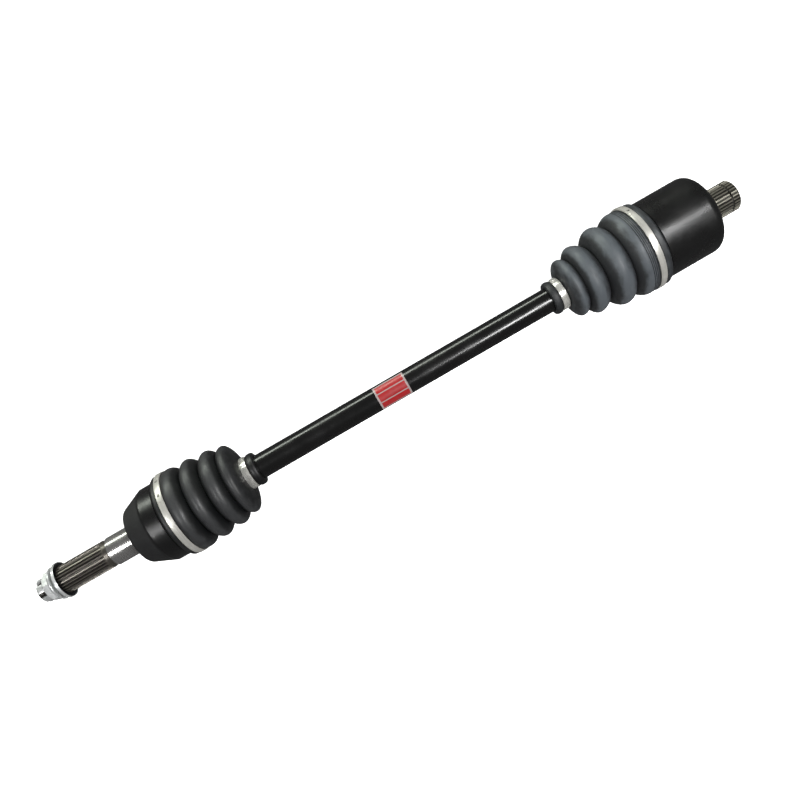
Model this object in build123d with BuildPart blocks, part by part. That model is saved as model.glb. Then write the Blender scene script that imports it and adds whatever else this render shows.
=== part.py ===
from build123d import *
import math
import os

os.makedirs("parts", exist_ok=True)

# A constant-velocity axle. X is the shaft line, from the wheel end (-X) to the gearbox end (+X), and Z is up.
# The origin is the middle of the axle. All sizes are in millimetres.

# Wheel end of the axle, the gaps between pieces and how deep each stub is set into its bell or cup
THREAD_END_X = -397.6
PART_GAP = 0.05
MOVING_GAP = 0.3
STUB_ROOT_DEPTH = 3.0

# Bar between the joints
BAR_R = 12.6
BAR_SPLINE_TIP_R = 12.0
BAR_SPLINE_ROOT_R = 11.2
BAR_TEETH = 24

# Both joints
BALL_COUNT = 6
BALL_R = 7.94
TRACK_R = 8.9
RACE_HALF_WIDTH = 9.5
CAGE_HALF_WIDTH = 13.0
CAGE_WALL = 4.6
WINDOW_AXIAL = 16.3
WINDOW_AROUND = 19.0
WINDOW_CORNER_R = 4.0
SPHERE_GAP = 0.15
CIRCLIP_WIDTH = 1.4
CIRCLIP_DEPTH = 1.0
CIRCLIP_OPENING = 40.0
BAR_END_PAST_RACE = 2.7

# Wheel-end joint: a ball joint of fixed centre
OUT_CENTRE_X = -249.0
OUT_BALL_CIRCLE_R = 26.5
OUT_SOCKET_R = 29.3
OUT_MOUTH_X = -234.0
OUT_MOUTH_R = 33.0
OUT_SOCKET_FLOOR = 22.0
OUT_SOCKET_LIP = 8.0
OUT_BELL_R = 40.1
OUT_BELL_BACK_X = -284.5
OUT_BELL_BACK_R = 29.6
OUT_CONE_END_X = -260.5
OUT_BELL_LAND_X = -246.4
OUT_SEAT_R = 38.9

# Wheel-end stub
THREAD_R = 9.45
THREAD_START_X = -373.0
JOURNAL_R = 15.1
JOURNAL_START_X = -315.5
RELIEF_R = 14.1
RELIEF_START_X = -318.5
OUT_SPLINE_START_X = -372.4
OUT_SPLINE_END_X = -319.5
OUT_SPLINE_TIP_R = 14.55
OUT_SPLINE_ROOT_R = 13.3
OUT_TEETH = 26
PIN_HOLE_R = 2.0
PIN_HOLE_X = -392.2

# Hub nut and cone washer
NUT_BORE_R = 9.6
NUT_CROWN_R = 12.6
NUT_CROWN_START_X = -396.2
NUT_HEX_START_X = -388.0
NUT_HEX_FLATS = 28.0
NUT_FLANGE_START_X = -382.6
NUT_FLANGE_R = 17.6
NUT_END_X = -377.7
NUT_SLOT_WIDTH = 5.0
NUT_SLOTS = 6
NUT_TURN = 14.0
WASHER_R = 19.05
WASHER_BORE_R = 10.3
WASHER_SEAT_R = 13.5
WASHER_DISH = 4.0
WASHER_THICKNESS = 3.0
WASHER_START_X = NUT_END_X

# Gearbox-end joint: a ball joint that plunges along its cup
IN_CENTRE_X = 318.0
IN_BALL_CIRCLE_R = 28.0
IN_BORE_R = 31.9
IN_MOUTH_X = 286.0
IN_FLOOR_X = 354.0
IN_CUP_END_X = 363.0
IN_CUP_R = 41.2
IN_CUP_CORNER_R = 10.0
IN_SEAT_R = 40.0
IN_LAND_X = 301.2
IN_TRACK_END_X = 347.0
WIRE_X = 288.8
WIRE_R = 1.0
WIRE_CIRCLE_R = 32.4

# Gearbox-end stub
SEAL_R = 16.7
SEAL_END_X = 371.5
IN_SPLINE_END_X = 397.6
IN_SPLINE_TIP_R = 16.1
IN_SPLINE_ROOT_R = 14.9
IN_TEETH = 29
STUB_GROOVE_X = 388.6
STUB_GROOVE_WIDTH = 1.9
STUB_GROOVE_R = 13.6
STUB_END_CHAMFER = 1.6

# Boots: outside crests and valleys as (x, radius), from the large end to the small end
BOOT_WALL = 2.2
OUT_BOOT_START_X = -245.0
OUT_BOOT_CLAMP_R = 43.9
OUT_BOOT_FOLDS = [
    (-226.6, 44.3), (-216.4, 35.2), (-207.2, 43.2), (-197.0, 33.2),
    (-186.8, 41.1), (-177.6, 32.4), (-170.4, 37.5),
]
OUT_NECK_START_X = -162.8
OUT_NECK_END_X = -146.3
OUT_NECK_LIP_X = -154.4
IN_BOOT_END_X = 300.0
IN_BOOT_CLAMP_R = 44.4
IN_BOOT_FOLDS = [
    (277.6, 45.2), (264.6, 35.6), (253.4, 42.3), (240.2, 30.2),
    (226.8, 36.6), (218.0, 26.8), (210.6, 30.9),
]
IN_NECK_START_X = 202.6
IN_NECK_END_X = 187.0
IN_NECK_LIP_X = 194.2
NECK_R = 15.4
NECK_LIP_R = 17.4

# Clamps
LARGE_CLAMP_WIDTH = 6.6
LARGE_CLAMP_THICKNESS = 0.8
SMALL_CLAMP_WIDTH = 7.2
SMALL_CLAMP_THICKNESS = 0.8
OUT_LARGE_CLAMP_X = -239.0
IN_LARGE_CLAMP_X = 285.4
OUT_SMALL_CLAMP_X = -162.2
IN_SMALL_CLAMP_X = 194.8
STRAP_LAP_ANGLE = 60.0
EAR_HEIGHT = 1.0
EAR_ANGLE = 14.0
EAR_TURN = 70.0

# Label on the bar
LABEL_START_X = -11.0
LABEL_END_X = 23.0
LABEL_THICKNESS = 0.12
LABEL_ANGLE = 130.0


def turn(outline, rounds=(), mode=Mode.ADD):
    """Turn a closed outline of (x, radius) points about the shaft line; rounds holds (point, radius) pairs."""
    with BuildSketch() as section:
        with BuildLine():
            Polyline(*outline, close=True)
        make_face()
        for corner, radius in rounds:
            fillet(section.vertices().sort_by_distance(corner)[0], radius)
    revolve(section.sketch, axis=Axis.X, mode=mode)


def ring(start_x, end_x, inner_r, outer_r, mode=Mode.ADD):
    """A plain ring about the shaft line."""
    turn([(start_x, inner_r), (start_x, outer_r), (end_x, outer_r), (end_x, inner_r)], mode=mode)


def patch(start_x, end_x, inner_r, outer_r, middle, angle, mode=Mode.ADD):
    """Part of a ring: angle degrees of it, centred middle degrees from +Z towards +Y."""
    facing = math.radians(middle + angle / 2)
    side = Plane(
        origin=(0, 0, 0),
        x_dir=(1, 0, 0),
        z_dir=(0, -math.cos(facing), math.sin(facing)),
    )
    with BuildSketch(side) as section:
        with BuildLine():
            Polyline((start_x, inner_r), (start_x, outer_r), (end_x, outer_r), (end_x, inner_r), close=True)
        make_face()
    revolve(section.sketch, axis=Axis.X, revolution_arc=angle, mode=mode)


def teeth(start_x, end_x, count, tip_r, root_r, mode=Mode.ADD):
    """A splined length: straight-sided teeth along the shaft line."""
    pitch = 2 * math.pi / count
    corners = []
    for tooth in range(count):
        for radius, share in ((root_r, -0.34), (tip_r, -0.17), (tip_r, 0.17), (root_r, 0.34)):
            angle = (tooth + share) * pitch
            corners.append((radius * math.cos(angle), radius * math.sin(angle)))
    with BuildSketch(Plane.YZ.offset(start_x)) as section:
        with BuildLine():
            Polyline(*corners, close=True)
        make_face()
    extrude(section.sketch, amount=end_x - start_x, mode=mode)


def turned_teeth(start_x, end_x, count, tip_r, root_r, start_chamfer, end_chamfer):
    """Spline teeth whose two ends are turned down to a chamfer."""
    teeth(start_x, end_x, count, tip_r, root_r)
    turn(
        [
            (start_x, 0), (start_x, tip_r - start_chamfer), (start_x + start_chamfer, tip_r),
            (end_x - end_chamfer, tip_r), (end_x, tip_r - end_chamfer), (end_x, 0),
        ],
        mode=Mode.INTERSECT,
    )


def arc_track(centre_x, circle_r, from_angle, to_angle):
    """The sweep of a ball groove that bends about the joint's centre, on the +Z side."""
    start = math.radians(from_angle)
    across = Plane(
        origin=(centre_x, 0, 0),
        x_dir=(math.sin(start), 0, math.cos(start)),
        z_dir=(-math.cos(start), 0, math.sin(start)),
    )
    with BuildSketch(across) as section:
        with Locations((circle_r, 0)):
            Circle(TRACK_R)
    revolve(
        section.sketch,
        axis=Axis((centre_x, 0, 0), (0, 1, 0)),
        revolution_arc=to_angle - from_angle,
    )


def cut_around(tool):
    """Take a tool out of the part once for each ball."""
    for ball in range(BALL_COUNT):
        add(tool.part.rotate(Axis.X, ball * 360 / BALL_COUNT), mode=Mode.SUBTRACT)


def inner_race(centre_x, sphere_r, track):
    """The ball star on the bar's spline."""
    with Locations((centre_x, 0, 0)):
        Sphere(sphere_r)
    turn(
        [
            (centre_x - RACE_HALF_WIDTH, 0), (centre_x - RACE_HALF_WIDTH, sphere_r),
            (centre_x + RACE_HALF_WIDTH, sphere_r), (centre_x + RACE_HALF_WIDTH, 0),
        ],
        mode=Mode.INTERSECT,
    )
    teeth(
        centre_x - RACE_HALF_WIDTH - 1, centre_x + RACE_HALF_WIDTH + 1, BAR_TEETH,
        BAR_SPLINE_TIP_R + PART_GAP, BAR_SPLINE_ROOT_R + PART_GAP, mode=Mode.SUBTRACT,
    )
    cut_around(track)


def ball_cage(centre_x, outer_r):
    """The ring that keeps the balls in one plane, with a window for each."""
    with Locations((centre_x, 0, 0)):
        Sphere(outer_r)
        Sphere(outer_r - CAGE_WALL, mode=Mode.SUBTRACT)
    turn(
        [
            (centre_x - CAGE_HALF_WIDTH, 0), (centre_x - CAGE_HALF_WIDTH, outer_r),
            (centre_x + CAGE_HALF_WIDTH, outer_r), (centre_x + CAGE_HALF_WIDTH, 0),
        ],
        mode=Mode.INTERSECT,
    )
    for ball in range(BALL_COUNT):
        angle = math.radians(ball * 360 / BALL_COUNT)
        out = (0, math.sin(angle), math.cos(angle))
        with BuildSketch(Plane(origin=(centre_x, 0, 0), x_dir=(1, 0, 0), z_dir=out)) as window:
            RectangleRounded(WINDOW_AXIAL, WINDOW_AROUND, WINDOW_CORNER_R)
        extrude(window.sketch, amount=outer_r + 1, mode=Mode.SUBTRACT)


def race_circlip(centre_x, outward):
    """A sprung ring in the bar's end groove; outward is -1 or +1."""
    near_x = centre_x + outward * (RACE_HALF_WIDTH + PART_GAP)
    far_x = near_x + outward * (CIRCLIP_WIDTH - 2 * PART_GAP)
    patch(
        min(near_x, far_x), max(near_x, far_x), BAR_SPLINE_ROOT_R - CIRCLIP_DEPTH + PART_GAP,
        BAR_SPLINE_TIP_R + 0.9, 180, 360 - CIRCLIP_OPENING,
    )


def boot_folds(points, neck_x, neck_r):
    """The outside of a boot's folds: smooth waves through its crests and valleys, then a round end."""
    waves = []
    for (x0, r0), (x1, r1) in zip(points[:-1], points[1:]):
        for step in (0.0, 0.25, 0.5, 0.75):
            rise = (1 - math.cos(math.pi * step)) / 2
            waves.append((x0 + (x1 - x0) * step, r0 + (r1 - r0) * rise))
    crest_x, crest_r = points[-1]
    for angle in (0, 22, 44, 66):
        reach = math.sin(math.radians(angle))
        drop = 1 - math.cos(math.radians(angle))
        waves.append((crest_x + (neck_x - crest_x) * reach, crest_r + (neck_r - crest_r) * drop))
    return waves


def boot(folds, lip_x, clamp_x, clamp_r, seat_r, neck_x, neck_lip_x, neck_end_x):
    """A rubber boot: clamp seat, folds and neck, the same wall thickness all along."""
    facing = 1 if neck_end_x > lip_x else -1
    mouth_x = clamp_x + facing * LARGE_CLAMP_WIDTH
    outer_folds = boot_folds(folds, neck_x, NECK_R)
    inner_folds = boot_folds(
        [(x, r - BOOT_WALL) for x, r in folds], neck_x - facing * BOOT_WALL, BAR_R + MOVING_GAP
    )
    outside = [
        (lip_x, seat_r + PART_GAP), (lip_x, clamp_r - 0.6), (clamp_x - facing * 0.2, clamp_r),
        (mouth_x + facing * 0.2, clamp_r), *outer_folds, (neck_x, NECK_R),
        (neck_lip_x, NECK_R), (neck_lip_x, NECK_LIP_R), (neck_end_x, NECK_LIP_R),
    ]
    inside = [
        (neck_end_x, BAR_R + MOVING_GAP), (neck_x - facing * BOOT_WALL, BAR_R + MOVING_GAP),
        *reversed(inner_folds),
        (mouth_x + facing * 1.2, seat_r + PART_GAP),
    ]
    turn(outside + inside)


def large_clamp(start_x, seat_r, lap_middle):
    """A flat band with its lapped end and a pinched ear."""
    end_x = start_x + LARGE_CLAMP_WIDTH
    band_r = seat_r + PART_GAP + LARGE_CLAMP_THICKNESS
    ring(start_x, end_x, seat_r + PART_GAP, band_r)
    patch(start_x + 0.3, end_x - 0.3, band_r - 0.05, band_r + 0.6, lap_middle, STRAP_LAP_ANGLE)
    patch(start_x + 1.6, end_x - 1.6, band_r - 0.05, band_r + EAR_HEIGHT, lap_middle + 16, EAR_ANGLE)


def small_clamp(start_x):
    """A crimped band on the boot's neck, with its folded buckle."""
    end_x = start_x + SMALL_CLAMP_WIDTH
    band_r = NECK_R + MOVING_GAP + SMALL_CLAMP_THICKNESS
    ring(start_x, end_x, NECK_R + MOVING_GAP, band_r)
    patch(start_x + 1.0, end_x - 1.0, band_r - 0.05, band_r + EAR_HEIGHT, EAR_TURN, 2 * EAR_ANGLE)


# Solids that cut the ball grooves
with BuildPart() as out_track_tool:
    arc_track(OUT_CENTRE_X, OUT_BALL_CIRCLE_R, -42, 75)

with BuildPart() as out_race_track_tool:
    arc_track(OUT_CENTRE_X, OUT_BALL_CIRCLE_R, -60, 60)

with BuildPart() as in_race_track_tool:
    arc_track(IN_CENTRE_X, IN_BALL_CIRCLE_R, -60, 60)

with BuildPart() as in_track_tool:
    with BuildSketch(Plane.YZ.offset(IN_MOUTH_X - 1)):
        with Locations((0, IN_BALL_CIRCLE_R)):
            Circle(TRACK_R)
    extrude(amount=IN_TRACK_END_X - IN_MOUTH_X + 1)

socket_floor_x = OUT_CENTRE_X - OUT_SOCKET_FLOOR
socket_floor_r = math.sqrt(OUT_SOCKET_R**2 - OUT_SOCKET_FLOOR**2)
socket_lip_r = math.sqrt(OUT_SOCKET_R**2 - OUT_SOCKET_LIP**2)
with BuildPart() as out_socket_tool:
    with BuildSketch():
        with BuildLine():
            Line((socket_floor_x, 0), (socket_floor_x, socket_floor_r))
            ThreePointArc(
                (socket_floor_x, socket_floor_r), (OUT_CENTRE_X, OUT_SOCKET_R),
                (OUT_CENTRE_X + OUT_SOCKET_LIP, socket_lip_r),
            )
            Polyline(
                (OUT_CENTRE_X + OUT_SOCKET_LIP, socket_lip_r), (OUT_MOUTH_X, OUT_MOUTH_R),
                (OUT_MOUTH_X + 1, OUT_MOUTH_R), (OUT_MOUTH_X + 1, 0), (socket_floor_x, 0),
            )
        make_face()
    revolve(axis=Axis.X)

# Bar
out_bar_end_x = OUT_CENTRE_X - RACE_HALF_WIDTH - BAR_END_PAST_RACE
in_bar_end_x = IN_CENTRE_X + RACE_HALF_WIDTH + BAR_END_PAST_RACE
with BuildPart() as axle_bar:
    turned_teeth(out_bar_end_x, in_bar_end_x, BAR_TEETH, BAR_SPLINE_TIP_R, BAR_SPLINE_ROOT_R, 1.0, 1.0)
    turn(
        [
            (OUT_CENTRE_X + RACE_HALF_WIDTH + 4, 0), (OUT_CENTRE_X + RACE_HALF_WIDTH + 4, BAR_R - 1),
            (OUT_CENTRE_X + RACE_HALF_WIDTH + 5, BAR_R), (IN_CENTRE_X - RACE_HALF_WIDTH - 5, BAR_R),
            (IN_CENTRE_X - RACE_HALF_WIDTH - 4, BAR_R - 1), (IN_CENTRE_X - RACE_HALF_WIDTH - 4, 0),
        ]
    )
    for centre_x, outward in ((OUT_CENTRE_X, -1), (IN_CENTRE_X, 1)):
        shoulder_x = centre_x - outward * (RACE_HALF_WIDTH + PART_GAP)
        ring(
            min(shoulder_x, shoulder_x - outward * 5), max(shoulder_x, shoulder_x - outward * 5),
            BAR_SPLINE_ROOT_R - 1, BAR_R,
        )
        groove_x = centre_x + outward * RACE_HALF_WIDTH
        ring(
            min(groove_x, groove_x + outward * CIRCLIP_WIDTH),
            max(groove_x, groove_x + outward * CIRCLIP_WIDTH),
            BAR_SPLINE_ROOT_R - CIRCLIP_DEPTH, BAR_SPLINE_TIP_R + 1, mode=Mode.SUBTRACT,
        )
axle_bar.part.label = "axle_bar"
export_step(axle_bar.part, "parts/axle_bar.step")

# Wheel-end stub: journal, spline and thread, one forging with the bell
pin_hole_angle = math.radians(-NUT_TURN)
pin_hole_dir = (0, math.sin(pin_hole_angle), math.cos(pin_hole_angle))
with BuildPart() as wheel_stub:
    turned_teeth(
        OUT_SPLINE_START_X, OUT_SPLINE_END_X, OUT_TEETH, OUT_SPLINE_TIP_R, OUT_SPLINE_ROOT_R, 1.4, 0.6
    )
    runout = 6.0
    turn([
        (OUT_SPLINE_END_X - runout, 0), (OUT_SPLINE_END_X - runout, OUT_SPLINE_ROOT_R - 0.1),
        (OUT_SPLINE_END_X - 0.6, OUT_SPLINE_TIP_R - 0.1), (OUT_SPLINE_END_X, RELIEF_R), (OUT_SPLINE_END_X, 0),
    ])
    turn(
        [
            (THREAD_END_X, 0), (THREAD_END_X, THREAD_R - 1.2), (THREAD_END_X + 1.2, THREAD_R),
            (THREAD_START_X - 2.5, THREAD_R), (THREAD_START_X - 1.5, THREAD_R - 0.6),
            (THREAD_START_X + 1, THREAD_R - 0.6), (THREAD_START_X + 1, 0),
        ]
    )
    turn(
        [
            (OUT_SPLINE_END_X - 1, 0), (OUT_SPLINE_END_X - 1, RELIEF_R), (RELIEF_START_X, RELIEF_R),
            (JOURNAL_START_X - 0.8, RELIEF_R), (JOURNAL_START_X, JOURNAL_R - 0.5),
            (JOURNAL_START_X + 0.5, JOURNAL_R), (OUT_BELL_BACK_X - 2, JOURNAL_R),
            (OUT_BELL_BACK_X, JOURNAL_R + 2), (OUT_BELL_BACK_X + STUB_ROOT_DEPTH, JOURNAL_R + 2),
            (OUT_BELL_BACK_X + STUB_ROOT_DEPTH, 0),
        ]
    )
    pin_hole_plane = Plane(origin=(PIN_HOLE_X, 0, 0), x_dir=(1, 0, 0), z_dir=pin_hole_dir)
    with BuildSketch(pin_hole_plane) as pin_hole:
        Circle(PIN_HOLE_R)
    extrude(pin_hole.sketch, amount=THREAD_R + 1, both=True, mode=Mode.SUBTRACT)
wheel_stub.part.label = "wheel_stub"
export_step(wheel_stub.part, "parts/wheel_stub.step")

# Wheel-end housing: the bell that holds the ball joint
with BuildPart() as outboard_housing:
    turn(
        [
            (OUT_BELL_BACK_X, 0), (OUT_BELL_BACK_X, OUT_BELL_BACK_R), (OUT_CONE_END_X, OUT_BELL_R),
            (OUT_BELL_LAND_X, OUT_BELL_R), (OUT_BELL_LAND_X + 1.2, OUT_SEAT_R), (OUT_MOUTH_X, OUT_SEAT_R),
            (OUT_MOUTH_X, 0),
        ],
        rounds=[((OUT_BELL_BACK_X, OUT_BELL_BACK_R), 4.0), ((OUT_CONE_END_X, OUT_BELL_R), 3.0)],
    )
    add(out_socket_tool.part, mode=Mode.SUBTRACT)
    cut_around(out_track_tool)
    ring(OUT_BELL_BACK_X, OUT_BELL_BACK_X + STUB_ROOT_DEPTH, 0, JOURNAL_R + 2, mode=Mode.SUBTRACT)
outboard_housing.part.label = "outboard_housing"
export_step(outboard_housing.part, "parts/outboard_housing.step")

# Wheel-end race, cage and race circlip
with BuildPart() as outboard_inner_race:
    inner_race(OUT_CENTRE_X, OUT_SOCKET_R - CAGE_WALL - 2 * SPHERE_GAP, out_race_track_tool)
outboard_inner_race.part.label = "outboard_inner_race"
export_step(outboard_inner_race.part, "parts/outboard_inner_race.step")

with BuildPart() as outboard_cage:
    ball_cage(OUT_CENTRE_X, OUT_SOCKET_R - SPHERE_GAP)
outboard_cage.part.label = "outboard_cage"
export_step(outboard_cage.part, "parts/outboard_cage.step")

with BuildPart() as outboard_race_circlip:
    race_circlip(OUT_CENTRE_X, -1)
outboard_race_circlip.part.label = "outboard_race_circlip"
export_step(outboard_race_circlip.part, "parts/outboard_race_circlip.step")

# Gearbox-end race, cage and race circlip
with BuildPart() as inboard_inner_race:
    inner_race(IN_CENTRE_X, IN_BORE_R - CAGE_WALL - 2 * SPHERE_GAP, in_race_track_tool)
inboard_inner_race.part.label = "inboard_inner_race"
export_step(inboard_inner_race.part, "parts/inboard_inner_race.step")

with BuildPart() as inboard_cage:
    ball_cage(IN_CENTRE_X, IN_BORE_R - SPHERE_GAP)
inboard_cage.part.label = "inboard_cage"
export_step(inboard_cage.part, "parts/inboard_cage.step")

with BuildPart() as inboard_race_circlip:
    race_circlip(IN_CENTRE_X, 1)
inboard_race_circlip.part.label = "inboard_race_circlip"
export_step(inboard_race_circlip.part, "parts/inboard_race_circlip.step")

# Balls of both joints
for joint, centre_x, circle_r in (
    ("outboard", OUT_CENTRE_X, OUT_BALL_CIRCLE_R),
    ("inboard", IN_CENTRE_X, IN_BALL_CIRCLE_R),
):
    for number in range(BALL_COUNT):
        angle = math.radians(number * 360 / BALL_COUNT)
        place = (centre_x, circle_r * math.sin(angle), circle_r * math.cos(angle))
        with BuildPart() as ball:
            with Locations(place):
                Sphere(BALL_R)
        ball.part.label = f"{joint}_ball_{number + 1}"
        export_step(ball.part, f"parts/{ball.part.label}.step")

# Gearbox-end stub: seal journal and spline, one forging with the cup
with BuildPart() as gearbox_stub:
    turned_teeth(
        IN_CUP_END_X + 1, IN_SPLINE_END_X, IN_TEETH, IN_SPLINE_TIP_R, IN_SPLINE_ROOT_R, 0.3, STUB_END_CHAMFER
    )
    turn([
        (IN_CUP_END_X - STUB_ROOT_DEPTH, 0), (IN_CUP_END_X - STUB_ROOT_DEPTH, SEAL_R + 1),
        (IN_CUP_END_X, SEAL_R + 1), (IN_CUP_END_X + 1, SEAL_R), (SEAL_END_X - 0.8, SEAL_R),
        (SEAL_END_X, SEAL_R - 0.8), (SEAL_END_X + 3.5, IN_SPLINE_ROOT_R - 0.1), (SEAL_END_X + 3.5, 0),
    ])
    ring(
        STUB_GROOVE_X - STUB_GROOVE_WIDTH / 2, STUB_GROOVE_X + STUB_GROOVE_WIDTH / 2,
        STUB_GROOVE_R, IN_SPLINE_TIP_R + 1, mode=Mode.SUBTRACT,
    )
gearbox_stub.part.label = "gearbox_stub"
export_step(gearbox_stub.part, "parts/gearbox_stub.step")

# Gearbox-end cup: holds the plunging ball joint
with BuildPart() as inboard_cup:
    turn(
        [
            (IN_MOUTH_X, 0), (IN_MOUTH_X, IN_SEAT_R), (IN_LAND_X - 1, IN_SEAT_R), (IN_LAND_X, IN_CUP_R),
            (IN_CUP_END_X, IN_CUP_R), (IN_CUP_END_X, 0),
        ],
        rounds=[((IN_CUP_END_X, IN_CUP_R), IN_CUP_CORNER_R)],
    )
    turn(
        [
            (IN_MOUTH_X - 1, 0), (IN_MOUTH_X - 1, IN_BORE_R + 2), (IN_MOUTH_X, IN_BORE_R + 2),
            (IN_MOUTH_X + 1.2, IN_BORE_R), (IN_FLOOR_X, IN_BORE_R), (IN_FLOOR_X, 0),
        ],
        rounds=[((IN_FLOOR_X, IN_BORE_R), 3.0)],
        mode=Mode.SUBTRACT,
    )
    cut_around(in_track_tool)
    ring(WIRE_X - WIRE_R, WIRE_X + WIRE_R, IN_BORE_R - 1, WIRE_CIRCLE_R + WIRE_R, mode=Mode.SUBTRACT)
    ring(IN_CUP_END_X - STUB_ROOT_DEPTH, IN_CUP_END_X, 0, SEAL_R + 1, mode=Mode.SUBTRACT)
inboard_cup.part.label = "inboard_cup"
export_step(inboard_cup.part, "parts/inboard_cup.step")

# Round wire ring that keeps the balls in the cup
wire_start = math.radians(15)
wire_plane = Plane(
    origin=(0, 0, 0), x_dir=(1, 0, 0), z_dir=(0, -math.cos(wire_start), math.sin(wire_start))
)
with BuildPart() as inboard_retaining_ring:
    with BuildSketch(wire_plane) as wire_section:
        with Locations((WIRE_X, WIRE_CIRCLE_R)):
            Circle(WIRE_R - PART_GAP)
    revolve(wire_section.sketch, axis=Axis.X, revolution_arc=330)
inboard_retaining_ring.part.label = "inboard_retaining_ring"
export_step(inboard_retaining_ring.part, "parts/inboard_retaining_ring.step")

# Sprung ring in the stub's end groove
with BuildPart() as stub_circlip:
    patch(
        STUB_GROOVE_X - STUB_GROOVE_WIDTH / 2 + 0.2, STUB_GROOVE_X + STUB_GROOVE_WIDTH / 2 - 0.2,
        STUB_GROOVE_R + 0.4, IN_SPLINE_ROOT_R + 0.5, 180, 330,
    )
stub_circlip.part.label = "stub_circlip"
export_step(stub_circlip.part, "parts/stub_circlip.step")

# Boots
with BuildPart() as outboard_boot:
    boot(
        OUT_BOOT_FOLDS, OUT_BOOT_START_X, OUT_LARGE_CLAMP_X, OUT_BOOT_CLAMP_R, OUT_SEAT_R,
        OUT_NECK_START_X, OUT_NECK_LIP_X, OUT_NECK_END_X,
    )
outboard_boot.part.label = "outboard_boot"
export_step(outboard_boot.part, "parts/outboard_boot.step")

with BuildPart() as inboard_boot:
    boot(
        IN_BOOT_FOLDS, IN_BOOT_END_X, IN_LARGE_CLAMP_X + LARGE_CLAMP_WIDTH, IN_BOOT_CLAMP_R, IN_SEAT_R,
        IN_NECK_START_X, IN_NECK_LIP_X, IN_NECK_END_X,
    )
inboard_boot.part.label = "inboard_boot"
export_step(inboard_boot.part, "parts/inboard_boot.step")

# Clamps
with BuildPart() as outboard_large_clamp:
    large_clamp(OUT_LARGE_CLAMP_X, OUT_BOOT_CLAMP_R, 52)
outboard_large_clamp.part.label = "outboard_large_clamp"
export_step(outboard_large_clamp.part, "parts/outboard_large_clamp.step")

with BuildPart() as inboard_large_clamp:
    large_clamp(IN_LARGE_CLAMP_X, IN_BOOT_CLAMP_R, 72)
inboard_large_clamp.part.label = "inboard_large_clamp"
export_step(inboard_large_clamp.part, "parts/inboard_large_clamp.step")

with BuildPart() as outboard_small_clamp:
    small_clamp(OUT_SMALL_CLAMP_X)
outboard_small_clamp.part.label = "outboard_small_clamp"
export_step(outboard_small_clamp.part, "parts/outboard_small_clamp.step")

with BuildPart() as inboard_small_clamp:
    small_clamp(IN_SMALL_CLAMP_X)
inboard_small_clamp.part.label = "inboard_small_clamp"
export_step(inboard_small_clamp.part, "parts/inboard_small_clamp.step")

# Castellated hub nut
hex_corner_r = NUT_HEX_FLATS / math.sqrt(3)
with BuildPart() as hub_nut:
    with BuildSketch(Plane.YZ.offset(NUT_HEX_START_X)):
        RegularPolygon(radius=hex_corner_r, side_count=NUT_SLOTS, rotation=90 - NUT_TURN)
    extrude(amount=NUT_END_X - NUT_HEX_START_X)
    turn(
        [
            (NUT_HEX_START_X, 0), (NUT_HEX_START_X, NUT_CROWN_R + 1.0), (NUT_HEX_START_X + 2.2, hex_corner_r),
            (NUT_END_X, hex_corner_r), (NUT_END_X, 0),
        ],
        mode=Mode.INTERSECT,
    )
    turn([
        (NUT_FLANGE_START_X, 0), (NUT_FLANGE_START_X, NUT_HEX_FLATS / 2),
        (NUT_END_X - 1.4, NUT_FLANGE_R), (NUT_END_X, NUT_FLANGE_R), (NUT_END_X, 0),
    ])
    turn([
        (NUT_CROWN_START_X, 0), (NUT_CROWN_START_X, NUT_CROWN_R - 1.4),
        (NUT_CROWN_START_X + 1.4, NUT_CROWN_R),
        (NUT_HEX_START_X + 1, NUT_CROWN_R), (NUT_HEX_START_X + 1, 0),
    ])
    ring(NUT_CROWN_START_X - 1, NUT_END_X + 1, 0, NUT_BORE_R, mode=Mode.SUBTRACT)
    for slot in range(NUT_SLOTS // 2):
        slot_angle = math.radians(slot * 360 / NUT_SLOTS - NUT_TURN)
        out = (0, math.sin(slot_angle), math.cos(slot_angle))
        across = Plane(origin=(NUT_CROWN_START_X, 0, 0), x_dir=(1, 0, 0), z_dir=out)
        with BuildSketch(across) as slot_section:
            Rectangle(2 * (NUT_HEX_START_X - NUT_CROWN_START_X), NUT_SLOT_WIDTH)
        extrude(slot_section.sketch, amount=NUT_CROWN_R + 1, both=True, mode=Mode.SUBTRACT)
hub_nut.part.label = "hub_nut"
export_step(hub_nut.part, "parts/hub_nut.step")

# Cone washer, hollow side towards the spline
washer_flat_x = WASHER_START_X + WASHER_THICKNESS
with BuildPart() as cone_washer:
    turn(
        [
            (WASHER_START_X + PART_GAP, WASHER_BORE_R), (WASHER_START_X + PART_GAP, WASHER_SEAT_R),
            (WASHER_START_X + WASHER_DISH, WASHER_R), (washer_flat_x + WASHER_DISH, WASHER_R),
            (washer_flat_x, WASHER_SEAT_R), (washer_flat_x, WASHER_BORE_R),
        ],
        rounds=[((WASHER_START_X + WASHER_DISH, WASHER_R), 0.8)],
    )
cone_washer.part.label = "cone_washer"
export_step(cone_washer.part, "parts/cone_washer.step")

# Label wrapped on the bar
with BuildPart() as bar_label:
    patch(
        LABEL_START_X, LABEL_END_X, BAR_R + 0.02, BAR_R + 0.02 + LABEL_THICKNESS, -6, LABEL_ANGLE
    )
bar_label.part.label = "bar_label"
export_step(bar_label.part, "parts/bar_label.step")
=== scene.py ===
"""Looks for a constant-velocity axle on its CAD frame: boots, clamps, hub thread, paint, steel and label."""

import math
from collections import namedtuple

import bmesh
import bpy
from mathutils import Matrix, Vector, noise


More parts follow.
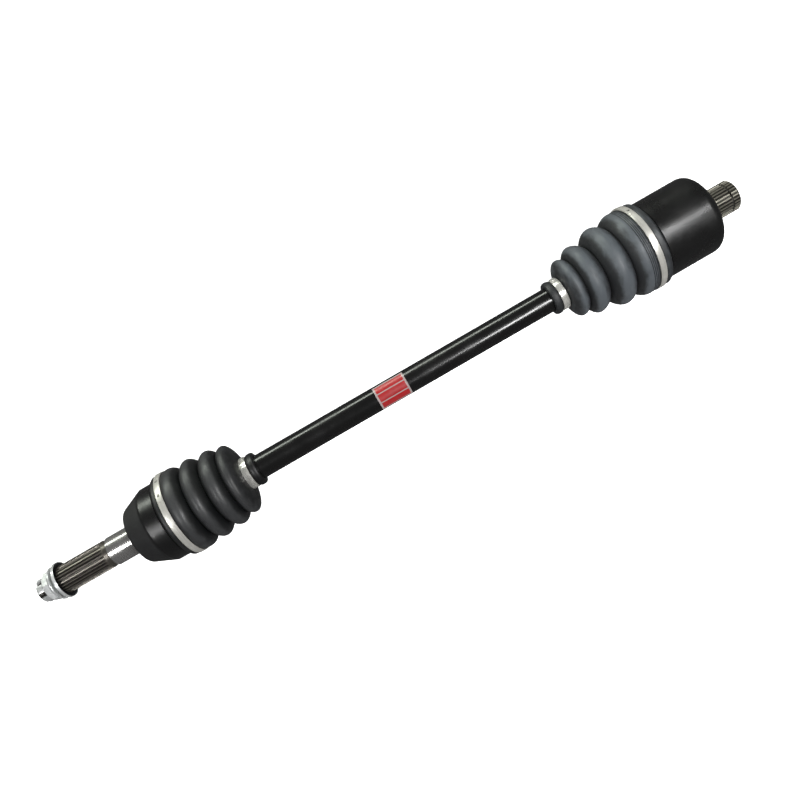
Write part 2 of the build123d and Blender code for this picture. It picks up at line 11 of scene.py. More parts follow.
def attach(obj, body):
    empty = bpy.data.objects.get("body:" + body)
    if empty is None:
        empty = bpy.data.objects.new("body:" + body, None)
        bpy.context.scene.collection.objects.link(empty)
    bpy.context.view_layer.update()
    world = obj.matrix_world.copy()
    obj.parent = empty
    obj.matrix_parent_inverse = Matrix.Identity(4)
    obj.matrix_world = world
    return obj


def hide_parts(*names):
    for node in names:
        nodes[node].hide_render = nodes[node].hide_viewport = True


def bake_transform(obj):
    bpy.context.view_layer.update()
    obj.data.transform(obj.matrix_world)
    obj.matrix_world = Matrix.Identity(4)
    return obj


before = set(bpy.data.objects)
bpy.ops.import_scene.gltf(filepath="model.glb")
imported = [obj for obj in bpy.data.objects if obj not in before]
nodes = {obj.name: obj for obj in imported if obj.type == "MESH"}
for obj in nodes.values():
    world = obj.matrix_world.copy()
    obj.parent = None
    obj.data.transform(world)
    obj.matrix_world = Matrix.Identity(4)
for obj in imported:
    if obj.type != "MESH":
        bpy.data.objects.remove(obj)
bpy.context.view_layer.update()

# Lengths are in metres. X is the shaft line, from the wheel end (-X) to the gearbox end (+X), and Z is up.
MM = 0.001
ROUND_STEPS = 192
SMOOTH_LIMIT = math.radians(32)
RUBBER_SMOOTH_LIMIT = math.radians(65)

# Boots: folds are (x, radius) of crest and valley in turn, from the clamp to the neck
Boot = namedtuple("Boot", "folds lip_x clamp_x clamp_r seat_r neck_x neck_lip_x neck_end_x rings")
OUT_BOOT = Boot(
    folds=[
        (-0.2266, 0.0443), (-0.2164, 0.0335), (-0.2072, 0.0432), (-0.1970, 0.0315),
        (-0.1868, 0.0411), (-0.1776, 0.0315), (-0.1704, 0.0375),
    ],
    lip_x=-0.2449, clamp_x=(-0.2390, -0.2324), clamp_r=0.0438, seat_r=0.03895,
    neck_x=-0.1618, neck_lip_x=-0.1544, neck_end_x=-0.1470, rings=0,
)
IN_BOOT = Boot(
    folds=[
        (0.2776, 0.0449), (0.2650, 0.0345), (0.2534, 0.0423), (0.2400, 0.0275),
        (0.2268, 0.0366), (0.2182, 0.0258), (0.2106, 0.0309),
    ],
    lip_x=0.2999, clamp_x=(0.2920, 0.2854), clamp_r=0.0443, seat_r=0.04005,
    neck_x=0.2030, neck_lip_x=0.1942, neck_end_x=0.1870, rings=4,
)
IN_SPLIT_X = IN_BOOT.folds[2][0]
OUT_BEND_X = (-0.234, -0.163)
IN_BEND_START_X = 0.2035
BOOT_WALL = 2.2 * MM
FOLD_ROUNDNESS = 0.5
NECK_R = 0.0154
NECK_LIP_R = 0.0174
NECK_BORE_R = 0.0129
SEAT_DEPTH = 0.6 * MM
SHOULDER_HEIGHT = 0.3 * MM
RING_START = 1.4 * MM
RING_PITCH = 1.8 * MM
RIPPLE_HEIGHT = 0.20 * MM

# Painted light on the rubber, from 0 for none, which leaves a valley's painted shade, to 1 for the painted
# sheen on a crest; each fade is per metre from the outermost crest
NECK_PAINTED_LIGHT = 0.1
DOME_PAINTED_LIGHT, DOME_FADE = 0.85, 60
MOUTH_PAINTED_LIGHT, MOUTH_FADE = 0.45, 60

# Clamps: what stands on a large band, in millimetres from its edges and its outside, and in degrees round it
CLAMP_THICKNESS = 0.8 * MM
LARGE_CLAMP_WIDTH = 6.4 * MM
SMALL_CLAMP_WIDTH = 7.0 * MM
SMALL_CLAMP_R = 0.0157
CRUMPLE_HEIGHT = 0.28 * MM
ClampDetail = namedtuple("ClampDetail", "name margin low high place angle edge")
LARGE_CLAMP_DETAILS = [
    ClampDetail("strap", 0.25, -0.05, 0.50, 0, 58, 0.15),
    ClampDetail("ear", 1.6, 0.30, 0.95, 16, 10, 0.20),
    # The windows are dark sheets of painted shade over the strap's holes.
    ClampDetail("window_shade_1", 2.0, 0.30, 0.54, -20, 3.6, 0.02),
    ClampDetail("hook_1", 2.5, 0.30, 0.85, -18.6, 2.0, 0.12),
    ClampDetail("window_shade_2", 2.0, 0.30, 0.54, 4, 3.6, 0.02),
    ClampDetail("hook_2", 2.5, 0.30, 0.85, 5.4, 2.0, 0.12),
]

# Hub thread
THREAD_PITCH = 1.5 * MM
THREAD_CREST_R = 0.0100
THREAD_ROOT_R = 0.0093
THREAD_START_X = -0.39755
THREAD_END_X = -0.3880
THREAD_TURN_STEPS = 48

# Cone washer: the face of its hollow side is where x less WASHER_SLOPE times the radius is WASHER_HOLLOW
WASHER_SLOPE = 0.7208
WASHER_HOLLOW = -0.3747 - WASHER_SLOPE * 0.0135
# The painted shade on the hollow side stops at this radius.
WASHER_SHADE_R = 0.0186

# Finishes: where the bell's matte cone ends, where each journal lies, and the radii of each spline's teeth
BELL_MATTE_X = -0.2622
WHEEL_JOURNAL_X = (-0.3155, -0.2840)
WHEEL_TOOTH_R = (0.0133, 0.0146)
SEAL_JOURNAL_X = (0.3620, 0.3712)
GEARBOX_TOOTH_R = (0.0149, 0.0161)

# Label: its middle along and round the bar, the half-width and half-turn inside its rim, and where its
# stripes run, with turns in radians
LABEL_X = 0.006
LABEL_TURN = -0.105
LABEL_HALF_WIDTH = 0.0150
LABEL_HALF_TURN = 0.98
LABEL_STRIPE = (0.30, 0.42)

FLOOR_Z = -0.0458
FLOOR_HALF_SIZE = 4
CAMERA_HEIGHT = 0.72


# ---------------------------------------------------------------- meshes

def finish_mesh(name, mesh, material, smooth_limit=SMOOTH_LIMIT):
    """Turn a bmesh into a shown piece, smooth except across sharp edges."""
    bmesh.ops.recalc_face_normals(mesh, faces=mesh.faces)
    for face in mesh.faces:
        face.smooth = True
    for edge in mesh.edges:
        edge.smooth = len(edge.link_faces) == 2 and edge.calc_face_angle(0) < smooth_limit
    data = bpy.data.meshes.new(name)
    mesh.to_mesh(data)
    mesh.free()
    piece = bpy.data.objects.new(name, data)
    bpy.context.collection.objects.link(piece)
    data.materials.append(material)
    return piece


def lathe(outline):
    """A closed outline of (x, radius) points turned about the shaft line, as a bmesh."""
    mesh = bmesh.new()
    ring = [mesh.verts.new((x, 0, radius)) for x, radius in outline]
    edges = [mesh.edges.new((ring[k - 1], ring[k])) for k in range(len(ring))]
    bmesh.ops.spin(
        mesh, geom=ring + edges, cent=(0, 0, 0), axis=(1, 0, 0), angle=2 * math.pi, steps=ROUND_STEPS,
        use_merge=True,
    )
    bmesh.ops.remove_doubles(mesh, verts=mesh.verts, dist=1e-7)
    return mesh


def fold_side(start, end, steps, roundness):
    """One side of a fold without its last point, round at its crest and tight in its valley."""
    falls = start[1] > end[1]
    (crest_x, crest_r), (valley_x, valley_r) = (start, end) if falls else (end, start)
    points = []
    for step in range(steps):
        share = step / steps
        away = math.sin(math.pi / 2 * share) if falls else math.cos(math.pi / 2 * share)
        drop = roundness * (1 - math.sqrt(1 - away * away)) + (1 - roundness) * away * away
        points.append((crest_x + (valley_x - crest_x) * away, crest_r + (valley_r - crest_r) * drop))
    return points


def folds_outline(folds, neck_x):
    """The wavy outside of a boot, with a last round dome down to the neck."""
    outline = []
    for start, end in zip(folds[:-1], folds[1:]):
        outline += fold_side(start, end, 9, FOLD_ROUNDNESS)
    outline += fold_side(folds[-1], (neck_x, NECK_R), 12, 1.0)
    outline.append((neck_x, NECK_R))
    return outline


def inset(outline, wall):
    """The outline moved inwards by the wall thickness, square to itself."""
    facing = 1 if outline[-1][0] > outline[0][0] else -1
    moved = []
    for k, (x, radius) in enumerate(outline):
        x0, r0 = outline[max(k - 1, 0)]
        x1, r1 = outline[min(k + 1, len(outline) - 1)]
        run, rise = x1 - x0, r1 - r0
        length = math.hypot(run, rise)
        side = 1 if run * facing >= 0 else -1
        moved.append((x + wall * rise / length * facing * side, radius - wall * abs(run) / length))
    return moved


def corner(points, radius, steps=4):
    """Round each inner corner of an open outline with a short curve of about the radius."""
    rounded = [points[0]]
    for before, here, after in zip(points[:-2], points[1:-1], points[2:]):
        here_v = Vector(here)
        to_before, to_after = Vector(before) - here_v, Vector(after) - here_v
        reach = min(radius, to_before.length * 0.45, to_after.length * 0.45)
        first = here_v + to_before.normalized() * reach
        last = here_v + to_after.normalized() * reach
        for step in range(steps + 1):
            t = step / steps
            rounded.append(tuple(first * (1 - t) ** 2 + here_v * 2 * t * (1 - t) + last * t ** 2))
    rounded.append(points[-1])
    return rounded


def round_lip(start_x, end_x, low_r, high_r):
    """The rounded bead at the end of a boot's neck."""
    middle, half = (start_x + end_x) / 2, (start_x - end_x) / 2
    bead = []
    for step in range(13):
        angle = math.pi * step / 12
        bead.append((middle + half * math.cos(angle), low_r + (high_r - low_r) * math.sin(angle) ** 0.7))
    return bead


def boot_outline(boot):
    """A boot's outside, from its clamp seat over its folds to its neck, and its inside, back again."""
    facing = 1 if boot.neck_end_x > boot.lip_x else -1
    seat_end, mouth_end = boot.clamp_x
    shoulder_r = boot.clamp_r + SHOULDER_HEIGHT
    seat_floor_r = boot.clamp_r - SEAT_DEPTH
    head = corner([
        (boot.lip_x, boot.seat_r), (boot.lip_x, boot.clamp_r - 1.6 * MM),
        (boot.lip_x + facing * 2.2 * MM, shoulder_r), (seat_end - facing * 0.5 * MM, shoulder_r),
        (seat_end, seat_floor_r), (mouth_end, seat_floor_r), (mouth_end + facing * 0.4 * MM, shoulder_r),
    ], 0.8 * MM)
    for ring in range(boot.rings):
        groove_x = mouth_end + facing * (RING_START + RING_PITCH * ring)
        head += [
            (groove_x + facing * across * MM, boot.clamp_r + height * MM)
            for across, height in ((-0.55, 0.4), (-0.15, -0.4), (0.15, -0.4), (0.55, 0.4))
        ]
    wave = folds_outline(boot.folds, boot.neck_x)
    bead = round_lip(boot.neck_lip_x, boot.neck_end_x, NECK_R, NECK_LIP_R)
    tail = [(boot.neck_x, NECK_R)] + bead + [(boot.neck_end_x, NECK_BORE_R)]
    inner_wave = [point for point in inset(wave, BOOT_WALL) if point[1] > NECK_BORE_R + 0.2 * MM]
    inner = [(boot.neck_x - facing * BOOT_WALL, NECK_BORE_R)] + inner_wave[::-1]
    inner.append((mouth_end + facing * 1.0 * MM, boot.seat_r))
    return head + wave[:-1] + tail, inner


def cut_at(outside, inside, x):
    """Two closed sections that meet in a flat ring at x: the clamp end's and the neck end's."""
    k = min(range(len(outside)), key=lambda i: abs(outside[i][0] - x))
    j = min(range(len(inside)), key=lambda i: abs(inside[i][0] - x))
    return outside[:k + 1] + inside[j:], outside[k:] + inside[:j + 1]


def level_at(points, x):
    """The radius at x of straight lines drawn through the points."""
    ordered = sorted(points)
    if x <= ordered[0][0]:
        return ordered[0][1]
    for (x0, r0), (x1, r1) in zip(ordered[:-1], ordered[1:]):
        if x <= x1:
            return r0 + (r1 - r0) * (x - x0) / (x1 - x0)
    return ordered[-1][1]


def mark_painted_light(mesh, boot):
    """Store how much painted light each point has: none in a valley, which is painted shade, most on a crest
    as painted sheen, less on a fold's neck side as painted shade.
    """
    painted_light = mesh.verts.layers.float.new("painted_light")
    crests, valleys = boot.folds[0::2], boot.folds[1::2]
    first_crest_x, last_crest_x = crests[0][0], crests[-1][0]
    facing = 1 if boot.neck_x > first_crest_x else -1
    dome = abs(boot.neck_x - last_crest_x)
    for vert in mesh.verts:
        x, radius = vert.co.x, math.hypot(vert.co.y, vert.co.z)
        before_folds = facing * (first_crest_x - x)
        past_folds = facing * (x - last_crest_x)
        if before_folds > 0:
            share = 0 if radius < boot.clamp_r else max(MOUTH_PAINTED_LIGHT, 1 - before_folds * MOUTH_FADE)
        elif past_folds >= dome:
            share = NECK_PAINTED_LIGHT
        elif past_folds > 0:
            share = DOME_PAINTED_LIGHT - past_folds * DOME_FADE
        else:
            low, high = level_at(valleys, x), level_at(crests, x)
            share = min(max((radius - low) / (high - low), 0), 1)
            nearest_x = min(crests, key=lambda crest: abs(crest[0] - x))[0]
            if facing * (x - nearest_x) > 0:
                share **= 3
        vert[painted_light] = share


def ripple(mesh, seed):
    """Slight unevenness of moulded rubber."""
    for vert in mesh.verts:
        push = noise.noise(vert.co * 55 + Vector((seed, seed, seed))) * RIPPLE_HEIGHT
        vert.co += Vector((0, vert.co.y, vert.co.z)).normalized() * push


# ---------------------------------------------------------------- materials

def new_material(name):
    material = bpy.data.materials.new(name)
    material.use_nodes = True
    tree = material.node_tree
    return material, tree, tree.nodes["Principled BSDF"]


def add(tree, kind, inputs=None, **settings):
    """A node with its settings and its inputs, each linked or given a value."""
    node = tree.nodes.new(kind)
    for key, value in settings.items():
        setattr(node, key, value)
    for key, value in (inputs or {}).items():
        if isinstance(value, bpy.types.NodeSocket):
            tree.links.new(value, node.inputs[key])
        else:
            node.inputs[key].default_value = value
    return node


def maths(tree, operation, first, second=0.0, clamp=False):
    return add(tree, "ShaderNodeMath", {0: first, 1: second}, operation=operation, use_clamp=clamp).outputs[0]


def plus(tree, first, second, clamp=False):
    return maths(tree, "ADD", first, second, clamp)


def less(tree, first, second):
    return maths(tree, "SUBTRACT", first, second)


def times(tree, first, second):
    return maths(tree, "MULTIPLY", first, second)


def object_place(tree):
    return add(tree, "ShaderNodeTexCoord").outputs["Object"]


def split_place(tree, position):
    return add(tree, "ShaderNodeSeparateXYZ", {"Vector": position}).outputs


def distance_out(tree, y, z):
    """Distance from the shaft line."""
    return maths(tree, "SQRT", plus(tree, times(tree, y, y), times(tree, z, z)))


def stretched(tree, position, scale):
    return add(tree, "ShaderNodeMapping", {"Vector": position, "Scale": scale}).outputs[0]


def grain(tree, position, scale, detail=3.0, roughness=0.5):
    return add(
        tree, "ShaderNodeTexNoise",
        {"Vector": position, "Scale": scale, "Detail": detail, "Roughness": roughness},
    ).outputs["Fac"]


def ramp(tree, value, low, high, to_low=0.0, to_high=1.0):
    """The value from low to high stretched to another span and clamped there."""
    return add(
        tree, "ShaderNodeMapRange",
        {"Value": value, "From Min": low, "From Max": high, "To Min": to_low, "To Max": to_high},
        interpolation_type="SMOOTHSTEP",
    ).outputs["Result"]


def mix_colour(tree, share, first, second):
    node = add(tree, "ShaderNodeMix", data_type="RGBA")
    sockets = [s for s in node.inputs if s.type == "RGBA"]
    for socket, value in ((node.inputs["Factor"], share), (sockets[0], first), (sockets[1], second)):
        if isinstance(value, bpy.types.NodeSocket):
            tree.links.new(value, socket)
        else:
            socket.default_value = value
    return next(s for s in node.outputs if s.type == "RGBA")


def bump(tree, shader, height, strength, distance):
    node = add(tree, "ShaderNodeBump", {"Height": height, "Strength": strength, "Distance": distance})
    tree.links.new(node.outputs["Normal"], shader.inputs["Normal"])


def link(tree, value, shader, socket):
    tree.links.new(value, shader.inputs[socket])


def grey(level, tint=(1, 1, 1)):
    return (level * tint[0], level * tint[1], level * tint[2], 1)


def make_gloss_paint(name, rough):
    """Black paint on a forging: slight orange peel, faint dust and handling marks."""
    material, tree, shader = new_material(name)
    position = object_place(tree)
    peel = grain(tree, position, 900, 2)
    cloud = grain(tree, position, 34, 5, 0.6)
    dust = ramp(tree, grain(tree, position, 420, 4, 0.7), 0.62, 0.78)
    colour = mix_colour(tree, times(tree, dust, 0.06), grey(0.004), grey(0.09, (1, 0.98, 0.93)))
    link(tree, colour, shader, "Base Color")
    link(tree, ramp(tree, cloud, 0.3, 0.75, rough * 0.8, rough * 1.35), shader, "Roughness")
    bump(tree, shader, plus(tree, peel, times(tree, cloud, 0.4)), 0.03, 0.0003)
    return material


def make_bell_paint():
    """Black paint, matte on the forged cone and glossy on the machined cylinder."""
    material, tree, shader = new_material("bell paint")
    position = object_place(tree)
    x, y, z = split_place(tree, position)
    cloud = grain(tree, position, 40, 5, 0.6)
    fine = grain(tree, position, 900, 2)
    cast = grain(tree, position, 260, 4, 0.6)
    wander = times(tree, less(tree, cloud, 0.5), 1.2 * MM)
    matte = ramp(tree, plus(tree, x, wander), BELL_MATTE_X, BELL_MATTE_X - 1.0 * MM)
    dust = ramp(tree, grain(tree, position, 420, 4, 0.7), 0.60, 0.80)
    glossy = mix_colour(tree, times(tree, dust, 0.08), grey(0.004), grey(0.06, (1, 0.98, 0.93)))
    dull = mix_colour(tree, cloud, grey(0.004), grey(0.011, (0.98, 1, 1.05)))
    link(tree, mix_colour(tree, matte, glossy, dull), shader, "Base Color")
    rough = plus(tree, ramp(tree, cloud, 0.3, 0.75, 0.26, 0.36), times(tree, matte, 0.24))
    link(tree, rough, shader, "Roughness")
    height = plus(tree, times(tree, fine, 0.5), times(tree, cloud, 1.2))
    height = plus(tree, height, times(tree, times(tree, cast, matte), 2.0))
    bump(tree, shader, height, 0.10, 0.0003)
    return material


def make_stub_steel(name, light, tint, journal_x, tooth_r):
    """Bare steel: turned and polished on the journal, brown and oiled in the spline, with painted shade in
    the spline's grooves and paler tooth tips as painted highlight.
    """
    material, tree, shader = new_material(name)
    position = object_place(tree)
    x, y, z = split_place(tree, position)
    turned = grain(tree, stretched(tree, position, (2600, 14, 14)), 1.0, 2)
    stain = grain(tree, stretched(tree, position, (0.4, 1, 1)), 170, 5, 0.65)
    near, far = journal_x
    fade = 0.4 * MM
    polished = times(
        tree, ramp(tree, x, near - fade, near + fade), ramp(tree, x, far + fade, far - fade)
    )
    worn = plus(tree, times(tree, stain, 0.45), 0.55)
    # Painted shade and highlight: darker towards each tooth's root, paler at its tip, varied by real stains.
    tip_highlight_and_wear = times(tree, ramp(tree, distance_out(tree, y, z), *tooth_r), worn)
    oil_and_groove_shade = mix_colour(tree, tip_highlight_and_wear, grey(0.030, tint), grey(light, tint))
    bright = mix_colour(tree, turned, grey(0.20, (1, 0.97, 0.95)), grey(0.32, (1, 0.98, 0.96)))
    link(tree, mix_colour(tree, polished, oil_and_groove_shade, bright), shader, "Base Color")
    shader.inputs["Metallic"].default_value = 0.75
    rough = less(tree, ramp(tree, stain, 0.25, 0.75, 0.30, 0.40), times(tree, polished, 0.12))
    link(tree, rough, shader, "Roughness")
    rough_patch = times(tree, stain, less(tree, 1.0, polished))
    height = plus(tree, times(tree, turned, 0.05), times(tree, rough_patch, 0.6))
    bump(tree, shader, height, 0.08, 0.0002)
    return material


def make_rubber(name, valley, crest, rough):
    """Moulded rubber, with painted shade in its folds and a paler painted sheen on the crests."""
    material, tree, shader = new_material(name)
    position = object_place(tree)
    stored = add(tree, "ShaderNodeAttribute", attribute_name="painted_light").outputs["Fac"]
    cloud = grain(tree, position, 60, 5, 0.6)
    smear = grain(tree, stretched(tree, position, (2.5, 1, 1)), 70, 5, 0.6)
    fine = grain(tree, position, 1400, 3, 0.6)
    speck = ramp(tree, grain(tree, position, 700, 3, 0.6), 0.68, 0.80)
    patchy = plus(tree, stored, times(tree, less(tree, smear, 0.5), 1.1))
    # The stored painted light mixes the valley colour, a painted shade, with the crest colour, a painted
    # sheen.
    colour = mix_colour(tree, ramp(tree, patchy, 0.30, 1.0), valley, crest)
    colour = mix_colour(tree, times(tree, speck, 0.22), colour, grey(0.12, (1, 1.02, 1.05)))
    link(tree, colour, shader, "Base Color")
    link(tree, ramp(tree, smear, 0.3, 0.75, rough + 0.08, rough - 0.06), shader, "Roughness")
    bump(tree, shader, plus(tree, fine, times(tree, cloud, 2.5)), 0.18, 0.00035)
    return material


def make_steel(name, dark, light, rough, streak, tint, scratch, metal=1.0):
    """Steel strip, plate or bearing steel, with lines drawn out by its three streak scales."""
    material, tree, shader = new_material(name)
    position = object_place(tree)
    lines = grain(tree, stretched(tree, position, streak), 1.0, 3.0, 0.6)
    cloud = grain(tree, position, 90, 4, 0.6)
    spots = ramp(tree, grain(tree, position, 500, 3, 0.6), 0.60, 0.75)
    share = plus(tree, times(tree, lines, 0.6), times(tree, cloud, 0.4), clamp=True)
    colour = mix_colour(tree, ramp(tree, share, 0.3, 0.7), grey(dark, tint), grey(light, tint))
    colour = mix_colour(tree, times(tree, spots, 0.35), colour, grey(dark * 0.6, tint))
    link(tree, colour, shader, "Base Color")
    shader.inputs["Metallic"].default_value = metal
    smoothest, roughest = rough
    link(tree, ramp(tree, share, 0.25, 0.75, roughest, smoothest), shader, "Roughness")
    bump(tree, shader, plus(tree, lines, times(tree, cloud, 0.8)), scratch, 0.0003)
    return material


def make_washer_plate():
    """Zinc plate with painted shade inside the washer's hollow side."""
    material, tree, shader = new_material("washer plate")
    position = object_place(tree)
    x, y, z = split_place(tree, position)
    radius = distance_out(tree, y, z)
    hollow = less(tree, x, times(tree, radius, WASHER_SLOPE))
    inside = ramp(tree, hollow, WASHER_HOLLOW - 0.7 * MM, WASHER_HOLLOW - 0.3 * MM)
    within = ramp(tree, radius, WASHER_SHADE_R, WASHER_SHADE_R - 0.5 * MM)
    cloud = grain(tree, position, 160, 4, 0.6)
    plate = mix_colour(tree, cloud, grey(0.42, (0.98, 1, 1)), grey(0.62, (0.98, 1, 1)))
    painted_shade = mix_colour(tree, cloud, grey(0.010, (0.90, 0.98, 1.15)), grey(0.030, (0.92, 1, 1.12)))
    # Painted shade: the hollow side facing the spline is coloured dark.
    link(tree, mix_colour(tree, times(tree, inside, within), plate, painted_shade), shader, "Base Color")
    shader.inputs["Metallic"].default_value = 0.5
    link(tree, ramp(tree, cloud, 0.3, 0.7, 0.26, 0.44), shader, "Roughness")
    bump(tree, shader, cloud, 0.12, 0.0003)
    return material


def make_label_material():
    """Printed film: a red field with pale stripes and border, with small worn spots."""
    material, tree, shader = new_material("printed label")
    position = object_place(tree)
    x, y, z = split_place(tree, position)
    ink = grain(tree, position, 240, 4, 0.6)
    red = mix_colour(tree, ink, (0.20, 0.004, 0.006, 1), (0.32, 0.012, 0.014, 1))
    along = maths(tree, "ABSOLUTE", less(tree, x, LABEL_X))
    around = maths(tree, "ABSOLUTE", less(tree, maths(tree, "ARCTAN2", y, z), LABEL_TURN))
    rim = maths(
        tree, "MAXIMUM", ramp(tree, along, LABEL_HALF_WIDTH, LABEL_HALF_WIDTH + 0.3 * MM),
        ramp(tree, around, LABEL_HALF_TURN, LABEL_HALF_TURN + 0.02),
    )
    low, high = LABEL_STRIPE
    stripes = times(tree, ramp(tree, around, low, low + 0.03), ramp(tree, around, high, high - 0.03))
    pale = times(tree, maths(tree, "MAXIMUM", rim, stripes), 0.85)
    colour = mix_colour(tree, pale, red, grey(0.26, (1, 0.97, 0.95)))
    worn = ramp(tree, grain(tree, position, 600, 4, 0.7), 0.62, 0.75)
    colour = mix_colour(tree, times(tree, worn, 0.5), colour, grey(0.05))
    link(tree, colour, shader, "Base Color")
    link(tree, ramp(tree, grain(tree, position, 200, 3), 0.3, 0.7, 0.28, 0.42), shader, "Roughness")
    bump(tree, shader, grain(tree, position, 800, 2), 0.15, 0.0002)
    return material


out_rubber = make_rubber(
    "dark boot rubber", grey(0.004, (0.95, 1, 1.08)), grey(0.024, (0.96, 1, 1.05)), 0.44
)
in_rubber = make_rubber(
    "grey boot rubber", grey(0.013, (0.92, 1, 1.10)), grey(0.066, (0.88, 1, 1.12)), 0.50
)
band_steel = make_steel(
    "brushed clamp band", 0.38, 0.58, (0.28, 0.44), (1500, 30, 30), (1, 0.98, 0.91), 0.12, 0.55
)
crimp_steel = make_steel(
    "crimped clamp band", 0.38, 0.66, (0.20, 0.38), (500, 160, 160), (1, 0.99, 0.93), 0.3, 0.6
)
thread_steel = make_steel("turned thread", 0.04, 0.14, (0.24, 0.40), (900, 200, 200), (1, 0.96, 0.90), 0.25)
race_steel = make_steel("ground race", 0.30, 0.48, (0.18, 0.32), (1200, 60, 60), (1, 0.98, 0.96), 0.25)
ball_steel = make_steel("polished ball", 0.62, 0.74, (0.05, 0.10), (60, 60, 60), (1, 1, 1), 0.03)
spring_steel = make_steel(
    "oiled spring steel", 0.12, 0.22, (0.25, 0.40), (400, 80, 80), (1, 0.97, 0.92), 0.25
)

finish_of_node = {
    "axle_bar": make_gloss_paint("satin black shaft paint", 0.22),
    "outboard_housing": make_bell_paint(),
    "inboard_cup": make_gloss_paint("gloss black cup paint", 0.30),
    "wheel_stub": make_stub_steel("wheel stub steel", 0.15, (1, 0.92, 0.80), WHEEL_JOURNAL_X, WHEEL_TOOTH_R),
    "gearbox_stub": make_stub_steel(
        "gearbox stub steel", 0.26, (1, 0.96, 0.80), SEAL_JOURNAL_X, GEARBOX_TOOTH_R
    ),
    "hub_nut": make_steel(
        "zinc plate", 0.40, 0.62, (0.24, 0.42), (240, 240, 240), (0.98, 1, 1), 0.12, 0.55
    ),
    "cone_washer": make_washer_plate(),
    "bar_label": make_label_material(),
}
for node_name in nodes:
    if node_name.endswith("_inner_race") or node_name.endswith("_cage"):
        finish_of_node[node_name] = race_steel
    elif "_ball_" in node_name:
        finish_of_node[node_name] = ball_steel
    elif "circlip" in node_name or "retaining_ring" in node_name:
        finish_of_node[node_name] = spring_steel
for node_name, finish in finish_of_node.items():
    node = nodes[node_name]
    node.data.materials.clear()
    node.data.materials.append(finish)


# ---------------------------------------------------------------- boots

def boot_piece(name, section, boot, seed, material, node, bodies, start_x, end_x):
    """A turned length of boot that stands for a CAD node; it is baked where it is built and does not bend."""
    mesh = lathe(section)
    mark_painted_light(mesh, boot)
    ripple(mesh, seed)
    piece = finish_mesh(name, mesh, material, RUBBER_SMOOTH_LIMIT)
    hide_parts(node)
    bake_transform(piece)


def make_outboard_boot():
    outside, inside = boot_outline(OUT_BOOT)
    boot_piece(
        "outboard_boot_rubber", outside + inside, OUT_BOOT, 3.0, out_rubber, "outboard_boot",
        ("outboard_housing", "bar"), *OUT_BEND_X,
    )


def make_inboard_boot():
    """This boot spans two joints, so it is two lengths that meet at its second crest."""
    clamp_end, neck_end = cut_at(*boot_outline(IN_BOOT), IN_SPLIT_X)
    boot_piece(
        "inboard_boot_neck_end", neck_end, IN_BOOT, 11.0, in_rubber, "inboard_boot",
        ("bar", "inboard_carrier"), IN_BEND_START_X, IN_SPLIT_X,
    )
    boot_piece(
        "inboard_boot_clamp_end", clamp_end, IN_BOOT, 11.0, in_rubber, "inboard_boot",
        ("inboard_carrier", "inboard_cup"), IN_SPLIT_X, IN_BOOT.clamp_x[1],
    )


make_outboard_boot()
make_inboard_boot()


# ---------------------------------------------------------------- clamps

def strip(start_x, end_x, inner_r, outer_r, middle, angle, edge):
    """Part of a flat band, as a solid: angle degrees of it, centred middle degrees from +Z towards +Y."""
    mesh = bmesh.new()
    outline = [(start_x, inner_r), (start_x, outer_r), (end_x, outer_r), (end_x, inner_r)]
    face = mesh.faces.new([mesh.verts.new((x, 0, radius)) for x, radius in outline])
    turn_back = Matrix.Rotation(math.radians(-(middle - angle / 2)), 3, "X")
    bmesh.ops.rotate(mesh, verts=mesh.verts, cent=(0, 0, 0), matrix=turn_back)
    steps = max(3, int(angle / 2))
    bmesh.ops.spin(
        mesh, geom=list(face.verts) + list(face.edges) + [face], cent=(0, 0, 0), axis=(1, 0, 0),
        angle=-math.radians(angle), steps=steps, use_merge=False,
    )
    bmesh.ops.remove_doubles(mesh, verts=mesh.verts, dist=1e-7)
    bmesh.ops.recalc_face_normals(mesh, faces=mesh.faces)
    sharp = [side for side in mesh.edges if side.calc_face_angle(0) > math.radians(50)]
    bmesh.ops.bevel(mesh, geom=sharp, offset=edge, segments=2, profile=0.5, affect="EDGES", material=-1)
    return mesh


def closed_band(start_x, end_x, inner_r):
    """A full ring of strip with rounded edges."""
    outer_r = inner_r + CLAMP_THICKNESS
    middle_x = (start_x + end_x) / 2
    return lathe(corner([
        (middle_x, inner_r), (start_x, inner_r), (start_x, outer_r), (end_x, outer_r), (end_x, inner_r),
        (middle_x, inner_r),
    ], 0.25 * MM, 3)[:-1])


def clamp_piece(name, mesh, material, body, node):
    """A shown piece of clamp that rides on a body and stands for a CAD node."""
    piece = finish_mesh(name, mesh, material)
    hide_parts(node)
    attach(piece, body)


def large_clamp(end, start_x, inner_r, body, lap):
    """A flat band with its lapped end, two hooks in their windows, which are dark sheets of painted shade,
    and a pinched ear.
    """
    node = end + "_large_clamp"
    end_x = start_x + LARGE_CLAMP_WIDTH
    outer_r = inner_r + CLAMP_THICKNESS
    clamp_piece(end + "_large_band", closed_band(start_x, end_x, inner_r), band_steel, body, node)
    for detail in LARGE_CLAMP_DETAILS:
        mesh = strip(
            start_x + detail.margin * MM, end_x - detail.margin * MM,
            outer_r + detail.low * MM, outer_r + detail.high * MM,
            lap + detail.place, detail.angle, detail.edge * MM,
        )
        # Each window is a dark sheet on the strap: painted shade where the band's hole is.
        material = spring_steel if "window" in detail.name else band_steel
        clamp_piece(f"{end}_large_{detail.name}", mesh, material, body, node)


